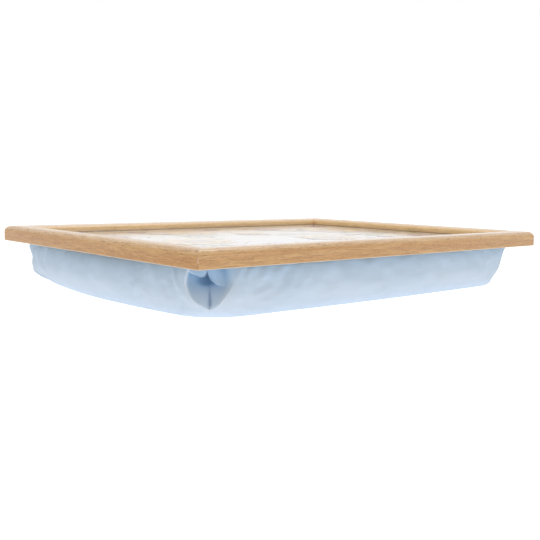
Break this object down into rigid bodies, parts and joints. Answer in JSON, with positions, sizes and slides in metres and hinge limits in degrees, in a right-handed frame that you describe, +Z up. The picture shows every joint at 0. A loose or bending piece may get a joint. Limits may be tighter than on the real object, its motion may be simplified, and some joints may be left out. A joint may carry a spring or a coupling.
{
  "type": "lap tray with cushion",
  "caption": "Rectangular lap tray: a printed board sunk in a mitred wooden frame, carried on a bead-filled cloth cushion with tucked corners.",
  "frame": {"origin": "middle of the flat sole of the cushion, at the level that the tray stands on", "axes": "+X along the tray's length to the right, +Y along its width to the back, +Z up; the front long rail is at -Y"},
  "size_m": [0.43, 0.33, 0.057],
  "materials": {
    "frame_wood": "satin lacquered beech",
    "nail_steel": "bright zinc plated",
    "fibreboard": "raw medium density fibreboard",
    "laminate": "satin gloss printed melamine",
    "glue": "cured hot melt",
    "hardboard": "raw hardboard",
    "cover_cloth": "plain woven cotton, light blue",
    "bag_cloth": "thin white spun liner",
    "beads": "expanded polystyrene beads"
  },
  "bodies": {
    "root": {"frame_rail_front": "frame_wood", "frame_rail_back": "frame_wood", "frame_rail_left": "frame_wood", "frame_rail_right": "frame_wood", "mitre_v_nails": "nail_steel", "framers_points": "nail_steel", "tray_board": "fibreboard", "print_laminate": "laminate", "glue_pads": "glue", "backing_board": "hardboard", "cover_staples": "nail_steel", "cushion_cover": "cover_cloth", "bead_bag": "bag_cloth", "bead_fill": "beads"}
  },
  "joints": []
}
